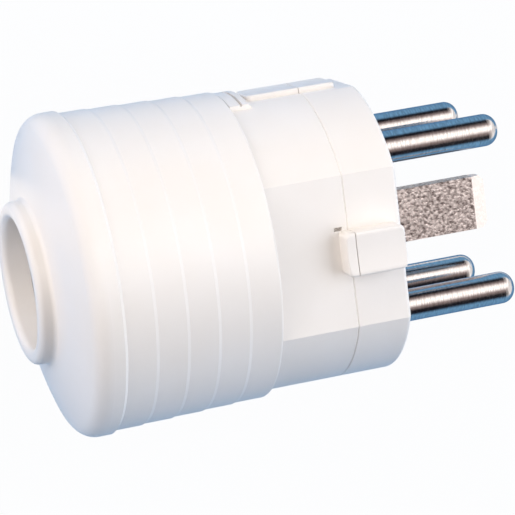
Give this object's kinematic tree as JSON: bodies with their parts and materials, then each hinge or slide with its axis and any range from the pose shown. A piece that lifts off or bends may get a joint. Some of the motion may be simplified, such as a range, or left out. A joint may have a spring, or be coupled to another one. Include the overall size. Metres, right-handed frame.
{
  "type": "three-phase plug",
  "caption": "Ribbed white plug with a round cable collar, a keyed nose, round plated pins in a rectangle and a flat earth blade between them, for a three-phase household socket.",
  "frame": {"origin": "centre of the front face, between the pins", "axes": "+X along the pins, +Y to the top key, +Z square to a wide side flat; the plug lies on its -Z side"},
  "size_m": [0.091, 0.0598, 0.0598],
  "materials": {
    "white_plastic": "moulded, glossy cream white",
    "pin_nickel": "turned brass, bright nickel plate",
    "blade_nickel": "milled brass, grainy nickel plate",
    "plated_steel": "zinc plated",
    "brass": "bare"
  },
  "bodies": {
    "root": {"hood": "white_plastic", "carrier": "white_plastic", "face_plate": "white_plastic", "grip_cradle": "white_plastic", "clamp_bar": "white_plastic", "earth_blade": "blade_nickel", "terminal_screws": "plated_steel", "clamp_screws": "plated_steel", "assembly_screws": "plated_steel", "thread_inserts": "brass", "phase_pin_1": "pin_nickel", "phase_pin_2": "pin_nickel", "phase_pin_3": "pin_nickel", "neutral_pin": "pin_nickel", "wire_guard_1": "brass", "wire_guard_2": "brass", "wire_guard_3": "brass", "wire_guard_4": "brass", "wire_guard_5": "brass"}
  },
  "joints": []
}
